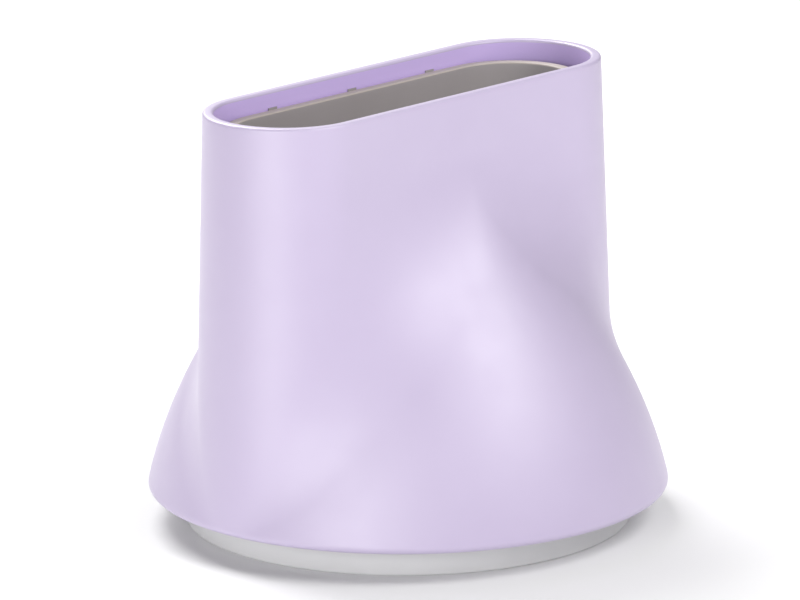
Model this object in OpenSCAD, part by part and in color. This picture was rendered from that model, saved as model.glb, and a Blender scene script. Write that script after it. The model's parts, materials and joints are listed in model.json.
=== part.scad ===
// Concentrator nozzle for a hair dryer: a flat slot-mouthed shell on a round bell, with an air
// duct inside it, that turns on a magnetic collar. +Z is up through the mouth, X is along the
// slot, and the origin is the middle of the collar's resting face. Millimetres.

/* [Outer shell] */
// Diameter of the bell at its lower edge, before the edge is rounded
skirt_d = 72.2; // [72.2:0.2:76]
// Height of the mouth's rim above the resting face
shell_h = 61; // [58:1:68]
// Height of the bell's lower edge above the resting face
skirt_z = 4.4; // [4.2:0.1:4.7]
// Radius of the rounding on the bell's lower edge
skirt_edge = 1; // [0.4:0.1:1.2]
// Length of the mouth, outside
mouth_l = 68.8; // [67:0.2:70]
// Width of the mouth, outside
mouth_w = 23.1; // [22:0.1:25]
// Width of the flat column at the height of the bell's lower edge
column_w = 27.2; // [26.6:0.2:30]
// Thickness of the outer wall
wall = 1.5; // [1.3:0.1:1.7]
// How fast the bell closes at its lower edge, in mm of radius per mm of height
flare_slope = 0.21; // [0.16:0.01:0.24]
// How much faster the bell closes higher up, in mm of radius per mm of height squared
flare_curve = 0.0092; // [0.0086:0.0001:0.0096]
// Width of the soft fillet between the column's flat sides and the crest of the bell
crest_blend = 8; // [3:0.5:12]

/* [Air duct] */
// How far the duct's rim lies below the shell's rim
duct_recess = 2.6; // [1.6:0.1:4]
// Thickness of the duct's wall
duct_wall = 1.5; // [1.2:0.1:1.7]
// Air gap between the duct and the shell at the ends of the mouth
end_gap = 1.9; // [1.2:0.1:2.5]
// Air gap between the duct and the shell along the sides of the mouth
side_gap = 0.2; // [0.15:0.05:0.4]
// Number of locating lugs along each side of the duct's rim
lug_count = 3; // [1:1:3]
// Distance between two locating lugs
lug_pitch = 15.6; // [12:0.2:16]

/* [Swivel] */
// Diameter of the air inlet through the neck
inlet_d = 44; // [42:0.5:44]
// Outside diameter of the collar, the spigot that enters the dryer
collar_d = 61.6; // [61:0.1:62]
// Height of the collar
collar_h = 5.6; // [5.6:0.1:5.8]
// Radial clearance between the neck and the collar that turns on it
running_gap = 0.08; // [0.05:0.01:0.1]

/* [Magnets] */
// Number of block magnets in the collar
magnet_count = 8; // [4:1:8]
// Length of one magnet, along the collar
magnet_l = 8; // [6:0.5:8]
// Width of one magnet, across the collar
magnet_w = 2; // [1.6:0.1:2]
// Thickness of one magnet
magnet_t = 2; // [1.5:0.1:2]

/* [Screws] */
// Number of screws through the base ring
screw_count = 4; // [3:1:6]
// Diameter of a screw's shank
screw_d = 1.9; // [1.6:0.1:2]
// Length of a screw over its head
screw_l = 6; // [5:0.5:6]

/* [Hidden] */
$fn = 96;

// Facets of the two curved skins: sides round the shell and the duct, and steps up them
shell_sides = 96;
shell_outer_steps = 34;
shell_inner_steps = 18;
duct_sides = 72;
duct_steps = 16;
// Share of the sides that crowd towards the ends of the slot, where the skins bend most
side_crowding = 0.3;

// Small distances that recur: a cut's overrun, three fits within one body, and an edge rounding
overrun = 1;
loose = 0.2;
snug = 0.1;
close = 0.05;
edge = 0.4;

skirt_r = skirt_d / 2;
// Inside of the bell's visible lower lip, and the step above it that the base ring is bonded in
lip_z = skirt_z + 1.8;
socket_r = skirt_r - 2.9;
socket_top = skirt_z + 5.4;

// Base ring: the neck that carries the collar, and the plate that closes the bell
inlet_r = inlet_d / 2;
neck_wall = 2;
neck_r = inlet_r + neck_wall;
neck_low = 0.4;
plate_t = 1.5;
plate_gap = 0.6;
plate_z = collar_h + plate_gap;
plate_top = plate_z + plate_t;
base_r = socket_r - snug;
base_rim_w = 1.5;
base_rim_top = socket_top - snug;

// Duct: its lip lies on the plate, round the neck, and its skin rises from foot_z to the rim
duct_in_r = neck_r + snug;
duct_foot_r = duct_in_r + duct_wall;
duct_lip_w = 1.4;
duct_lip_t = 1;
duct_lip_top = plate_top + duct_lip_t;
foot_h = 2.9;
foot_z = plate_top + foot_h;
neck_overlap = 0.8;
neck_top = foot_z + neck_overlap;
duct_top = shell_h - duct_recess;
duct_a = mouth_l / 2 - wall - end_gap;
duct_b = column_half_w(duct_top) - wall - side_gap;
// Height over which the duct's round foot closes into its flat sides
duct_dome_h = 40;

// Clamp that holds the duct's lip down on the plate
clamp_gap = 0.6;
clamp_in_r = duct_foot_r + loose;
clamp_out_r = base_r - base_rim_w - clamp_gap;
clamp_t = 1.4;
clamp_top = duct_lip_top + clamp_t;
boss_r = 2.2;
boss_h = 2.8;
boss_top = clamp_top + boss_h;
screw_ring_r = clamp_out_r - boss_r;
screw_hole_r = screw_d / 2 + snug;
screw_head_r = screw_d;
screw_head_h = 1;

// Collar: a channel below for the magnets, a groove on top for the washer, and a rebate at the
// lower end of its bore for the retaining clip
collar_r = collar_d / 2;
collar_bore_r = neck_r + running_gap;
clip_depth = 0.5;
clip_in_r = neck_r - clip_depth;
clip_out_r = neck_r + 1.1;
clip_z = 1.1;
clip_t = 0.7;
clip_mouth_w = 6;
rebate_r = clip_out_r + 0.5;
rebate_top = clip_z + clip_t + loose;
collar_inner_wall = 0.8;
collar_outer_wall = 1;
channel_in_r = rebate_r + collar_inner_wall;
channel_out_r = collar_r - collar_outer_wall;
tray_floor = 1;
tray_in_r = channel_in_r + close;
tray_out_r = channel_out_r - close;
tray_top = tray_floor + magnet_t + snug;
iron_z = tray_top + snug;
iron_t = 0.8;
channel_top = iron_z + iron_t + close;
magnet_ring_r = (channel_in_r + channel_out_r) / 2;
washer_t = 1;
washer_sunk = 0.55;
washer_z = collar_h - washer_sunk;
washer_in_r = channel_in_r - 1;
washer_out_r = channel_out_r + snug;

// O-ring on the neck that keeps hot air out of the swivel
o_ring_cord_r = 0.6;
o_ring_r = neck_r - o_ring_cord_r + close;
o_ring_z = 3.6;
o_ring_groove_h = 2 * o_ring_cord_r + snug;

// Lug on the duct's outside that fills the gap to the shell and rises a little over the rim
lug_l = 1.6;
lug_h = 1.2;
lug_rise = 0.25;

// ---- shapes that more than one piece uses ----

// Hollow cylinder between two radii and two heights
module tube(r_in, r_out, z_low, z_high) {
    translate([0, 0, z_low])
    difference() {
        cylinder(r = r_out, h = z_high - z_low);
        translate([0, 0, -overrun])
        cylinder(r = r_in, h = z_high - z_low + 2 * overrun);
    }
}

// Children repeated evenly round the Z axis at a radius
module around(count, radius, first = 0) {
    for (i = [0 : count - 1])
        rotate([0, 0, first + i * 360 / count])
        translate([radius, 0, 0])
        children();
}

function mix(from, to, t) = from + (to - from) * t;

// Larger of p and q, with a fillet of width k where they are nearly equal
function soft_max(p, q, k) =
    let (near = max(k - abs(p - q), 0))
    max(p, q) + near * near / (4 * k);

// Polar radius of a taut band round two end circles of radius b, which reach out to a on the X
// axis, and a circle of radius middle at the centre
function band_radius(angle, a, b, middle) =
    let (
        flat = a - b,
        turn = atan2(abs(sin(angle)), abs(cos(angle))),
        square_on = acos(min((middle - b) / flat, 1)),
        cap_end = atan2(b * sin(square_on), flat + b * cos(square_on))
    )
    turn < cap_end ? flat * cos(turn) + sqrt(b * b - pow(flat * sin(turn), 2)) :
    turn < square_on ? middle / cos(turn - square_on) : middle;

// Half the width of the flat column at a height, outside
function column_half_w(z) = mix(column_w, mouth_w, (z - skirt_z) / (shell_h - skirt_z)) / 2;

// Outer shell's radius at an angle and a height, moved in by an inset that is square to the bell
function shell_radius(angle, z, inset) =
    let (
        u = z - skirt_z,
        a = mix(skirt_r, mouth_l / 2, u / (shell_h - skirt_z)) - inset,
        b = column_half_w(z) - inset,
        slope = flare_slope + 2 * flare_curve * u,
        bell = skirt_r - flare_slope * u - flare_curve * u * u - inset * norm([1, slope])
    )
    band_radius(angle, a, b, min(soft_max(bell, b, crest_blend), a));

// Duct's radius at an angle and a height: round at its foot, a stadium at its rim
function duct_radius(angle, z, inset) =
    let (
        u = z - foot_z,
        a = mix(duct_foot_r, duct_a, u / (duct_top - foot_z)) - inset,
        b = duct_b - inset,
        dome = duct_foot_r * (1 - pow(u / duct_dome_h, 2)) - inset
    )
    band_radius(angle, a, b, min(soft_max(dome, b, crest_blend), a));

// Angle of side j of n, with the sides crowded towards the ends of the slot
function side_angle(j, n) =
    let (phi = 360 * j / n)
    phi - side_crowding * sin(2 * phi) * 180 / PI;

function ring_at(radii, z) =
    let (n = len(radii))
    [for (j = [0 : n - 1]) [radii[j] * cos(side_angle(j, n)), radii[j] * sin(side_angle(j, n)), z]];

function shell_ring(z, inset) =
    ring_at([for (j = [0 : shell_sides - 1]) shell_radius(side_angle(j, shell_sides), z, inset)], z);

function duct_ring(z, inset) =
    ring_at([for (j = [0 : duct_sides - 1]) duct_radius(side_angle(j, duct_sides), z, inset)], z);

function round_ring(sides, z, radius) = ring_at([for (j = [0 : sides - 1]) radius], z);

// Closed solid through a loop of rings: up the outside, over the rim and down the inside
module looped_skin(rings) {
    n = len(rings[0]);
    m = len(rings);
    points = [for (ring = rings) each ring];
    faces = [
        for (i = [0 : m - 1], j = [0 : n - 1])
        let (a = i * n + j, b = i * n + (j + 1) % n, c = ((i + 1) % m) * n + (j + 1) % n,
            d = ((i + 1) % m) * n + j)
        each [[a, c, b], [a, d, c]]
    ];
    polyhedron(points = points, faces = faces, convexity = 6);
}

// Places of the base ring's screws
module screw_places() {
    around(screw_count, screw_ring_r, 180 / screw_count)
    children();
}

// ---- pieces that turn with the nozzle ----

module outer_shell() {
    outer_top = shell_h - edge;
    inner_low = socket_top + loose;
    skirt_rings = [
        for (turn = [0 : 30 : 60])
        shell_ring(skirt_z + skirt_edge * (1 - cos(turn)), skirt_edge * (1 - sin(turn)))
    ];
    outer_rings = [
        for (i = [0 : shell_outer_steps])
        shell_ring(mix(skirt_z + skirt_edge, outer_top, i / shell_outer_steps), 0)
    ];
    rim_rings = [shell_ring(shell_h, edge), shell_ring(shell_h, wall - edge)];
    inner_rings = [
        for (i = [0 : shell_inner_steps])
        shell_ring(mix(outer_top, inner_low, i / shell_inner_steps), wall)
    ];
    socket_rings = [
        round_ring(shell_sides, socket_top, socket_r),
        round_ring(shell_sides, lip_z, socket_r),
        round_ring(shell_sides, lip_z, skirt_r - wall),
        round_ring(shell_sides, skirt_z, skirt_r - wall)
    ];
    color("thistle")
    looped_skin(concat(skirt_rings, outer_rings, rim_rings, inner_rings, socket_rings));
}

module air_duct() {
    lip_r = duct_foot_r + duct_lip_w;
    foot_rings = [
        round_ring(duct_sides, plate_top, lip_r),
        round_ring(duct_sides, duct_lip_top, lip_r),
        round_ring(duct_sides, duct_lip_top, duct_foot_r)
    ];
    outer_rings = [
        for (i = [0 : duct_steps])
        duct_ring(mix(foot_z, duct_top, i / duct_steps), 0)
    ];
    inner_rings = [
        for (i = [duct_steps : -1 : 0])
        duct_ring(mix(foot_z, duct_top, i / duct_steps), duct_wall)
    ];
    color("gray")
    looped_skin(concat(foot_rings, outer_rings, inner_rings, [
        round_ring(duct_sides, plate_top, duct_in_r)
    ]));
}

// Small lugs between the duct and the shell that keep the mouth's gap even
module duct_lugs() {
    color("gray")
    for (side = [0, 180], i = [0 : lug_count - 1])
        rotate([0, 0, side])
        translate([(i - (lug_count - 1) / 2) * lug_pitch - lug_l / 2, duct_b, duct_top + lug_rise - lug_h])
        cube([lug_l, side_gap - close, lug_h]);
}

// Neck that the collar turns on, and the plate that closes the bell round it
module base_ring() {
    color("dimgray")
    difference() {
        union() {
            tube(inlet_r, neck_r, neck_low, neck_top);
            tube(inlet_r, base_r, plate_z, plate_top);
            tube(base_r - base_rim_w, base_r, plate_z, base_rim_top);
        }
        tube(clip_in_r - close, neck_r + overrun, clip_z - close, clip_z + clip_t + close);
        tube(o_ring_r - o_ring_cord_r, neck_r + overrun,
            o_ring_z - o_ring_groove_h / 2, o_ring_z + o_ring_groove_h / 2);
        screw_places() {
            translate([0, 0, plate_z - overrun])
            cylinder(r = screw_hole_r, h = plate_t + 2 * overrun);
            translate([0, 0, plate_z])
            cylinder(r1 = screw_head_r + snug, r2 = screw_hole_r, h = screw_head_h);
        }
    }
}

// Ring that clamps the duct's lip on the plate, with a boss over each screw
module duct_clamp() {
    color("dimgray")
    difference() {
        union() {
            tube(clamp_in_r, clamp_out_r, plate_top, clamp_top);
            screw_places()
            translate([0, 0, clamp_top - snug])
            cylinder(r = boss_r, h = boss_top - clamp_top + snug);
        }
        tube(0, duct_foot_r + duct_lip_w + loose, plate_top - overrun, duct_lip_top + close);
        screw_places()
        translate([0, 0, plate_top - overrun])
        cylinder(r = screw_hole_r, h = screw_l);
    }
}

// Countersunk screws from under the base ring into the clamp's bosses
module base_screws() {
    cross_w = 0.5;
    cross_l = 1.9;
    cross_depth = 0.6;
    color("silver")
    screw_places()
    translate([0, 0, plate_z])
    difference() {
        union() {
            cylinder(r1 = screw_head_r, r2 = screw_d / 2, h = screw_head_h);
            cylinder(r = screw_d / 2, h = screw_l);
        }
        for (turn = [0, 90])
            rotate([0, 0, turn])
            translate([-cross_l / 2, -cross_w / 2, -overrun])
            cube([cross_l, cross_w, cross_depth + overrun]);
    }
}

module neck_o_ring() {
    color("black")
    translate([0, 0, o_ring_z])
    rotate_extrude()
    translate([o_ring_r, 0])
    circle(r = o_ring_cord_r, $fn = 32);
}

// Open spring ring in the neck's lower groove that keeps the collar on
module retaining_clip() {
    color("silver")
    difference() {
        tube(clip_in_r, clip_out_r, clip_z, clip_z + clip_t);
        translate([0, -clip_mouth_w / 2, 0])
        cube([clip_out_r + overrun, clip_mouth_w, collar_h]);
    }
}

// ---- pieces that stay with the dryer ----

// Outline of the collar on one side of the axis, with a rounded lower outer edge
module collar_profile() {
    translate([collar_bore_r, 0])
    square([collar_r - edge - collar_bore_r, collar_h]);
    translate([collar_bore_r, edge])
    square([collar_r - collar_bore_r, collar_h - edge]);
    translate([collar_r - edge, edge])
    circle(r = edge, $fn = 32);
}

module collar() {
    color("lightgray")
    difference() {
        rotate_extrude()
        collar_profile();
        tube(channel_in_r, channel_out_r, -overrun, channel_top);
        tube(0, rebate_r, -overrun, rebate_top);
        tube(washer_in_r - snug, washer_out_r + snug, washer_z, collar_h + overrun);
    }
}

// Low-friction washer that the base ring slides on
module glide_washer() {
    color("white")
    tube(washer_in_r, washer_out_r, washer_z, washer_z + washer_t);
}

// Steel ring behind the magnets
module back_iron() {
    color("slategray")
    tube(tray_in_r, tray_out_r, iron_z, iron_z + iron_t);
}

// Tray that closes the collar from below and holds the magnets
module magnet_tray() {
    color("lightgray")
    difference() {
        tube(tray_in_r, tray_out_r, 0, tray_top);
        around(magnet_count, magnet_ring_r)
        translate([-magnet_w / 2 - snug / 2, -magnet_l / 2 - snug / 2, tray_floor])
        cube([magnet_w + snug, magnet_l + snug, magnet_t + overrun]);
    }
}

module magnet(i) {
    color("gainsboro")
    rotate([0, 0, (i - 1) * 360 / magnet_count])
    translate([magnet_ring_r - magnet_w / 2, -magnet_l / 2, tray_floor])
    cube([magnet_w, magnet_l, magnet_t]);
}

outer_shell();
air_duct();
duct_lugs();
base_ring();
duct_clamp();
base_screws();
neck_o_ring();
retaining_clip();
collar();
glide_washer();
back_iron();
magnet_tray();
for (i = [1 : magnet_count])
    magnet(i);
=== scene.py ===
"""Looks of a hair dryer's concentrator nozzle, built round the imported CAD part. Metres, +Z up."""

import json
import math

import bpy
import numpy as np
from mathutils import Matrix, Vector


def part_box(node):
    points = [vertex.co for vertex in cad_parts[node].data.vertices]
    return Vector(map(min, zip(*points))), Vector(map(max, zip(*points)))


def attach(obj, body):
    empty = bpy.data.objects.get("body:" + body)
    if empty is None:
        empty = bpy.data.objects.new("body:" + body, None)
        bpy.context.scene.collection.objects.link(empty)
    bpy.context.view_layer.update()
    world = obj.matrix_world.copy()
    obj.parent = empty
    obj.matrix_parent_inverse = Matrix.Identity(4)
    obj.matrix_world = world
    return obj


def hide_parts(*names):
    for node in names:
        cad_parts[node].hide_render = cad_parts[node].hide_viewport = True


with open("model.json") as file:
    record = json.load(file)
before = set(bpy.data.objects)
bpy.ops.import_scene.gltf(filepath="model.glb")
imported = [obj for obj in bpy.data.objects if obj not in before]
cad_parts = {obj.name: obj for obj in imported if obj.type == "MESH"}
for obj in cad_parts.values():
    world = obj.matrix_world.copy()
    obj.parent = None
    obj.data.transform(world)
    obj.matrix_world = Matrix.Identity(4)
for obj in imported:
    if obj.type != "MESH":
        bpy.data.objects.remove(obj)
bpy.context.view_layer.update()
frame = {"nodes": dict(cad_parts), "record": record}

MM = 0.001

# ---- sizes, from the frame where it holds them ----

shell_low, shell_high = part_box("outer_shell")
duct_low, duct_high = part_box("air_duct")

SKIRT_Z = shell_low.z
SHELL_H = shell_high.z
DUCT_TOP = duct_high.z
DUCT_A = duct_high.x
PLATE_TOP = duct_low.z

# The outer shell's formula, as the CAD part has it: A is half a length and B is half a width
SKIRT_R = 36.1 * MM
MOUTH_A = 34.4 * MM
MOUTH_B = 11.55 * MM
COLUMN_B = 13.6 * MM
WALL = 1.5 * MM
FLARE_SLOPE = 0.21
FLARE_CURVE = 0.0092 / MM
CREST = 8 * MM
EDGE = 0.4 * MM
LOOSE = 0.2 * MM
SKIRT_EDGE = 1 * MM
LIP_Z = SKIRT_Z + 1.8 * MM
SOCKET_R = SKIRT_R - 2.9 * MM
SOCKET_TOP = SKIRT_Z + 5.4 * MM

# The air duct's formula
DUCT_WALL = 1.5 * MM
DUCT_B = 9.944 * MM
DUCT_IN_R = 24.1 * MM
DUCT_FOOT_R = DUCT_IN_R + DUCT_WALL
DUCT_LIP_R = DUCT_FOOT_R + 1.4 * MM
DUCT_LIP_TOP = PLATE_TOP + 1 * MM
DUCT_FOOT_Z = PLATE_TOP + 2.9 * MM
DUCT_DOME_H = 40 * MM
DUCT_EDGE = 0.2 * MM

# Fineness of the two smooth skins, and how far their sides crowd towards the ends of the slot
SIDES = 320
SHELL_STEPS = 170
INNER_STEPS = 60
ARC_STEPS = 7
SIDE_CROWDING = 0.3
SHARPEST_SMOOTH = math.radians(50)
QUARTER_TURN = math.pi / 2

# Scales of the materials' patterns, in repeats per metre
DRIFT_SCALE = 45.0
PATCH_SCALE = 260.0
TURNING_SCALE = 1200.0
SPOT_SCALE = 700.0

# Soft lights: how far they stand from the nozzle, and the side of their square
LIGHT_DISTANCE = 0.6
LIGHT_SIZE = 0.35


# ---- the two smooth skins ----

def side_angles():
    """Angles of the skins' sides, crowded towards the ends of the slot."""
    phi = np.linspace(0, 2 * np.pi, SIDES, endpoint=False)
    return phi - SIDE_CROWDING * np.sin(2 * phi)


def band_radius(angle, a, b, middle):
    """Polar radius of a taut band round a stadium and a circle of radius middle at its centre.

    The stadium has the half length a and the half width b."""
    flat = a - b
    turn = np.arctan2(np.abs(np.sin(angle)), np.abs(np.cos(angle)))
    square_on = math.acos(min((middle - b) / flat, 1))
    cap_end = math.atan2(b * math.sin(square_on), flat + b * math.cos(square_on))
    cap = flat * np.cos(turn) + np.sqrt(np.maximum(b * b - (flat * np.sin(turn)) ** 2, 0))
    straight = middle / np.cos(np.minimum(turn - square_on, 0))
    return np.where(turn < cap_end, cap, straight)


def soft_max(p, q, k):
    """Larger of p and q, with a fillet of width k where they are nearly equal."""
    near = max(k - abs(p - q), 0)
    return max(p, q) + near * near / (4 * k)


def shell_ring(z, inset):
    """Ring of the outer shell at a height, moved in by an inset that is square to the bell."""
    u = z - SKIRT_Z
    t = u / (SHELL_H - SKIRT_Z)
    slope = FLARE_SLOPE + 2 * FLARE_CURVE * u
    a = SKIRT_R + (MOUTH_A - SKIRT_R) * t - inset
    b = COLUMN_B + (MOUTH_B - COLUMN_B) * t - inset
    bell = SKIRT_R - FLARE_SLOPE * u - FLARE_CURVE * u * u - inset * math.hypot(1, slope)
    return ring_at(band_radius(side_angles(), a, b, min(soft_max(bell, b, CREST), a)), z)


def duct_ring(z, inset):
    """Ring of the air duct at a height: round at its foot, a stadium at its rim."""
    u = z - DUCT_FOOT_Z
    a = DUCT_FOOT_R + (DUCT_A - DUCT_FOOT_R) * u / (DUCT_TOP - DUCT_FOOT_Z) - inset
    b = DUCT_B - inset
    dome = DUCT_FOOT_R * (1 - (u / DUCT_DOME_H) ** 2) - inset
    return ring_at(band_radius(side_angles(), a, b, min(soft_max(dome, b, CREST), a)), z)


def ring_at(radius, z):
    """Points of a level ring, from one radius or from one for each side."""
    angle = side_angles()
    radius = np.broadcast_to(radius, angle.shape)
    return np.column_stack([radius * np.cos(angle), radius * np.sin(angle), np.full(SIDES, z)])


def looped_skin(name, rings, coats, second_from, second_to):
    """Closed mesh through a loop of rings: up the outside, over the rim and down the inside.

    The faces between the rings second_from and second_to have the second coat, the rest the first."""
    points = np.concatenate(rings)
    m = len(rings)
    i, j = np.meshgrid(np.arange(m), np.arange(SIDES), indexing="ij")
    right = (j + 1) % SIDES
    above = (i + 1) % m
    faces = np.stack([i * SIDES + j, i * SIDES + right, above * SIDES + right, above * SIDES + j], -1)
    mesh = bpy.data.meshes.new(name)
    mesh.from_pydata(points.tolist(), [], faces.reshape(-1, 4).tolist())
    for coat in coats:
        mesh.materials.append(coat)
    coat_of_band = np.zeros(m, dtype=int)
    coat_of_band[second_from:second_to] = 1
    mesh.polygons.foreach_set("material_index", np.repeat(coat_of_band, SIDES))
    mesh.shade_smooth()
    mesh.set_sharp_from_angle(angle=SHARPEST_SMOOTH)
    obj = bpy.data.objects.new(name, mesh)
    bpy.context.scene.collection.objects.link(obj)
    return obj


def arc(z, edge, turn_from, turn_to, inset):
    """Pairs of height and inset round a rounded edge whose centre is at z and inset."""
    turns = np.linspace(turn_from, turn_to, ARC_STEPS)
    return [(z + edge * math.sin(t), inset - edge * math.cos(t)) for t in turns]


def build_shell(materials):
    """Outer shell, with painted shade on its inner wall: the same lavender plastic, coloured the deeper
    violet it shows in shade.
    """
    foot = arc(SKIRT_Z + SKIRT_EDGE, SKIRT_EDGE, -QUARTER_TURN, 0, SKIRT_EDGE)
    rise = [(z, 0) for z in np.linspace(SKIRT_Z + SKIRT_EDGE, SHELL_H - EDGE, SHELL_STEPS)[1:-1]]
    rim_out = arc(SHELL_H - EDGE, EDGE, 0, QUARTER_TURN, EDGE)
    rim_in = arc(SHELL_H - EDGE, EDGE, QUARTER_TURN, 2 * QUARTER_TURN, WALL - EDGE)
    fall = [(z, WALL) for z in np.linspace(SHELL_H - EDGE, SOCKET_TOP + LOOSE, INNER_STEPS)[1:]]
    rings = [shell_ring(z, inset) for z, inset in foot + rise + rim_out + rim_in + fall]
    rings += [
        ring_at(SOCKET_R, SOCKET_TOP),
        ring_at(SOCKET_R, LIP_Z),
        ring_at(SKIRT_R - WALL, LIP_Z),
        ring_at(SKIRT_R - WALL, SKIRT_Z + EDGE / 2),
        ring_at(SKIRT_R - WALL + EDGE / 2, SKIRT_Z),
    ]
    # The inner wall's bands get the painted shade: a deeper violet copy of the shell's plastic
    inner_from = len(foot + rise + rim_out + rim_in) - 1
    inner_to = inner_from + len(fall)
    coats = [materials["shell"], materials["shell_inside_painted_shade"]]
    return looped_skin("shell_skin", rings, coats, inner_from, inner_to)


def build_duct(materials):
    """Air duct, with painted light on its rim: the same warm grey plastic, coloured paler where the rim
    catches the light.
    """
    rim_out = arc(DUCT_TOP - DUCT_EDGE, DUCT_EDGE, 0, QUARTER_TURN, DUCT_EDGE)
    rim_in = arc(DUCT_TOP - DUCT_EDGE, DUCT_EDGE, QUARTER_TURN, 2 * QUARTER_TURN, DUCT_WALL - DUCT_EDGE)
    rise = [(z, 0) for z in np.linspace(DUCT_FOOT_Z, DUCT_TOP - DUCT_EDGE, INNER_STEPS)[:-1]]
    fall = [(z, DUCT_WALL) for z in np.linspace(DUCT_TOP - DUCT_EDGE, DUCT_FOOT_Z, INNER_STEPS)[1:]]
    lip = [
        ring_at(DUCT_LIP_R, PLATE_TOP),
        ring_at(DUCT_LIP_R, DUCT_LIP_TOP),
        ring_at(DUCT_FOOT_R, DUCT_LIP_TOP),
    ]
    skin = [duct_ring(z, inset) for z, inset in rise + rim_out + rim_in + fall]
    foot = [ring_at(DUCT_IN_R, PLATE_TOP)]
    # The rim's bands get the painted light: a paler copy of the duct's plastic
    rim_from = len(lip + rise)
    rim_to = rim_from + len(rim_out + rim_in) - 1
    coats = [materials["duct"], materials["duct_rim_painted_light"]]
    return looped_skin("duct_skin", lip + skin + foot, coats, rim_from, rim_to)


# ---- materials ----

def new_material(name):
    """Material with its node tree and its shader."""
    material = bpy.data.materials.new(name)
    material.use_nodes = True
    tree = material.node_tree
    return material, tree, tree.nodes["Principled BSDF"]


def add(tree, kind, **values):
    """Adds a node and sets its input sockets by name."""
    node = tree.nodes.new(kind)
    for key, value in values.items():
        node.inputs[key.replace("_", " ")].default_value = value
    return node


def noise(tree, scale, detail, roughness=0.5):
    """Noise pattern that is fixed to the piece."""
    place = tree.nodes.new("ShaderNodeTexCoord")
    node = add(tree, "ShaderNodeTexNoise", Scale=scale, Detail=detail, Roughness=roughness)
    tree.links.new(place.outputs["Object"], node.inputs["Vector"])
    return node


def rgba(value):
    """Opaque colour from three values, or a grey from one."""
    return (*value, 1) if isinstance(value, tuple) else (value, value, value, 1)


def ramp(tree, source, low, high, start=0.3, end=0.7):
    """Colour or grey that runs from low to high as source goes from start to end."""
    node = tree.nodes.new("ShaderNodeValToRGB")
    node.color_ramp.elements[0].position = start
    node.color_ramp.elements[1].position = end
    node.color_ramp.elements[0].color = rgba(low)
    node.color_ramp.elements[1].color = rgba(high)
    tree.links.new(source, node.inputs["Fac"])
    return node


def moulded_plastic(name, low, high, rough, grain, depth, gloss):
    """Moulded plastic: a slow drift of colour, a roughness that varies, and a fine spark-eroded grain."""
    material, tree, shader = new_material(name)
    drift = noise(tree, DRIFT_SCALE, 3.0)
    colour = ramp(tree, drift.outputs["Fac"], low, high)
    tree.links.new(colour.outputs["Color"], shader.inputs["Base Color"])
    patches = noise(tree, PATCH_SCALE, 2.0)
    tree.links.new(ramp(tree, patches.outputs["Fac"], rough - 0.04, rough + 0.04).outputs["Color"],
                   shader.inputs["Roughness"])
    fine = noise(tree, grain, 2.0, 0.6)
    bump = add(tree, "ShaderNodeBump", Strength=0.35, Distance=depth)
    tree.links.new(fine.outputs["Fac"], bump.inputs["Height"])
    tree.links.new(bump.outputs["Normal"], shader.inputs["Normal"])
    shader.inputs["Specular IOR Level"].default_value = gloss
    return material


def soft_touch_coat(material):
    """Clear satin coat over a plastic, which gives broad pale highlights."""
    shader = material.node_tree.nodes["Principled BSDF"]
    shader.inputs["Coat Weight"].default_value = 1.0
    shader.inputs["Coat Roughness"].default_value = 0.5


def turned_metal(name, low, high, rough):
    """Metal with a fine turned grain round the swivel axis."""
    material, tree, shader = new_material(name)
    place = tree.nodes.new("ShaderNodeTexCoord")
    wave = tree.nodes.new("ShaderNodeTexWave")
    wave.wave_type = "RINGS"
    wave.rings_direction = "Z"
    wave.inputs["Scale"].default_value = TURNING_SCALE
    wave.inputs["Distortion"].default_value = 2.0
    tree.links.new(place.outputs["Object"], wave.inputs["Vector"])
    tree.links.new(ramp(tree, wave.outputs["Fac"], low, high).outputs["Color"], shader.inputs["Base Color"])
    spots = noise(tree, SPOT_SCALE, 3.0)
    tree.links.new(ramp(tree, spots.outputs["Fac"], rough - 0.06, rough + 0.08).outputs["Color"],
                   shader.inputs["Roughness"])
    bump = add(tree, "ShaderNodeBump", Strength=0.15, Distance=0.02 * MM)
    tree.links.new(wave.outputs["Fac"], bump.inputs["Height"])
    tree.links.new(bump.outputs["Normal"], shader.inputs["Normal"])
    shader.inputs["Metallic"].default_value = 1.0
    return material


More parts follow.
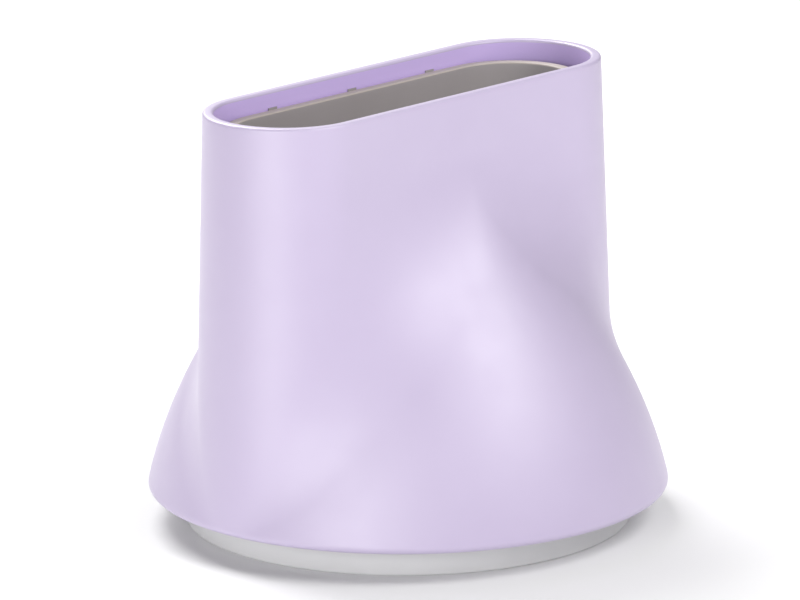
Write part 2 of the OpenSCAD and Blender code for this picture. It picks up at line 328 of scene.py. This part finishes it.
def make_materials():
    """Every material, by the slot of the record that it dresses or by the area of a skin."""
    # Each metal has a name, the two colours its turned grain runs between, and a roughness
    made = {
        "spring": turned_metal("spring_steel", (0.42, 0.42, 0.43), (0.56, 0.56, 0.57), 0.3),
        "screw": turned_metal("zinc_screws", (0.52, 0.52, 0.54), (0.66, 0.66, 0.67), 0.28),
        "iron": turned_metal("plain_steel", (0.30, 0.30, 0.32), (0.42, 0.42, 0.44), 0.4),
        "magnet": turned_metal("nickel_plate", (0.66, 0.64, 0.60), (0.74, 0.72, 0.68), 0.18),
    }
    # Each plastic has a slot, a name, the two colours it drifts between, a roughness, its grain's
    # scale and its depth in millimetres, and a gloss
    plastics = [
        ("shell", "lavender_shell", (0.51, 0.435, 0.62), (0.535, 0.46, 0.645), 0.5, 5200, 0.010, 1.0),
        # Painted shade: the shell's inner wall is the same lavender plastic, coloured as the deeper violet
        # it shows in its shade
        ("shell_inside_painted_shade", "violet_painted_shade_inside", (0.60, 0.475, 0.82), (0.63, 0.50, 0.85), 0.5, 4200, 0.010, 0.3),
        ("duct", "warm_grey_duct", (0.33, 0.305, 0.30), (0.37, 0.345, 0.34), 0.5, 4200, 0.020, 0.45),
        # Painted light: the duct's rim is the same warm grey plastic, coloured paler where the light
        # catches it
        ("duct_rim_painted_light", "warm_grey_rim_painted_light", (0.45, 0.40, 0.36), (0.49, 0.44, 0.40), 0.5, 4200, 0.010, 0.45),
        ("base", "dark_grey_base", (0.060, 0.060, 0.064), (0.085, 0.085, 0.09), 0.5, 3600, 0.030, 0.45),
        ("collar", "light_grey_collar", (0.715, 0.715, 0.72), (0.775, 0.775, 0.78), 0.4, 4800, 0.012, 0.45),
        ("tray", "light_grey_tray", (0.38, 0.38, 0.385), (0.43, 0.43, 0.435), 0.45, 4400, 0.020, 0.45),
        ("washer", "waxy_washer", (0.70, 0.70, 0.67), (0.76, 0.76, 0.74), 0.32, 3000, 0.010, 0.45),
        ("seal", "black_silicone", (0.018, 0.018, 0.018), (0.03, 0.03, 0.03), 0.62, 5000, 0.020, 0.45),
    ]
    for slot, name, low, high, rough, grain, depth, gloss in plastics:
        made[slot] = moulded_plastic(name, low, high, rough, grain, depth * MM, gloss)
    soft_touch_coat(made["shell"])
    return made


# ---- scene ----

def add_camera():
    """Long-lens camera, set by its angles round the nozzle, its distance and the point it looks at."""
    azimuth = math.radians(46.684)
    elevation = math.radians(14.44)
    roll = math.radians(-0.496)
    distance = 0.9377
    aside = -0.943 * MM
    target_height = 30.358 * MM
    back = Vector((-math.sin(azimuth) * math.cos(elevation),
                   -math.cos(azimuth) * math.cos(elevation), math.sin(elevation)))
    right = Vector((math.cos(azimuth), -math.sin(azimuth), 0))
    up = back.cross(right)
    target = right * aside + Vector((0, 0, target_height))
    turned_right = right * math.cos(roll) + up * math.sin(roll)
    turned_up = up * math.cos(roll) - right * math.sin(roll)
    camera = bpy.data.objects.new("camera", bpy.data.cameras.new("camera"))
    camera.matrix_world = Matrix((turned_right, turned_up, back)).transposed().to_4x4()
    camera.location = target + back * distance
    camera.data.sensor_width = 36
    camera.data.lens = 307.2
    camera.data.clip_end = 10
    bpy.context.scene.collection.objects.link(camera)
    bpy.context.scene.camera = camera


def add_area_light(name, azimuth, elevation, power):
    """Square soft light that faces the nozzle; azimuth 0 is on the -Y side, and turns towards +X."""
    data = bpy.data.lights.new(name, "AREA")
    data.size = LIGHT_SIZE
    data.energy = power
    light = bpy.data.objects.new(name, data)
    az, el = math.radians(azimuth), math.radians(elevation)
    away = Vector((math.sin(az) * math.cos(el), -math.cos(az) * math.cos(el), math.sin(el)))
    light.location = away * LIGHT_DISTANCE + Vector((0, 0, SHELL_H / 2))
    light.rotation_euler = away.to_track_quat("Z", "Y").to_euler()
    bpy.context.scene.collection.objects.link(light)


def add_lights():
    """White room light and three soft lights: one at the left, one in front and one behind."""
    world = bpy.data.worlds.new("studio")
    bpy.context.scene.world = world
    world.use_nodes = True
    world.node_tree.nodes["Background"].inputs["Color"].default_value = (1, 1, 1, 1)
    world.node_tree.nodes["Background"].inputs["Strength"].default_value = 0.28
    add_area_light("left_key", azimuth=-70, elevation=8, power=2.0)
    add_area_light("front_top", azimuth=18, elevation=45, power=2.2)
    add_area_light("back_top", azimuth=165, elevation=45, power=3.5)


def add_floor():
    """Plain pale floor that the nozzle stands on."""
    mesh = bpy.data.meshes.new("floor")
    half = 3.0
    corners = [(-half, -half, 0), (half, -half, 0), (half, half, 0), (-half, half, 0)]
    mesh.from_pydata(corners, [], [(0, 1, 2, 3)])
    floor = bpy.data.objects.new("floor", mesh)
    bpy.context.scene.collection.objects.link(floor)
    material, _, shader = new_material("pale_floor")
    shader.inputs["Base Color"].default_value = (0.96, 0.96, 0.96, 1)
    shader.inputs["Roughness"].default_value = 0.9
    mesh.materials.append(material)


def dress(obj, material):
    """Gives a CAD node its one material."""
    obj.data.materials.clear()
    obj.data.materials.append(material)


materials = make_materials()
slots = {row["node"]: row["material_slot"] for row in frame["record"]["subparts"]}
for node, obj in frame["nodes"].items():
    dress(obj, materials[slots[node]])

shell = build_shell(materials)
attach(shell, "nozzle")
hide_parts("outer_shell")

duct = build_duct(materials)
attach(duct, "nozzle")
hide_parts("air_duct")

add_camera()
add_lights()
add_floor()
bpy.context.scene.view_settings.view_transform = "Standard"
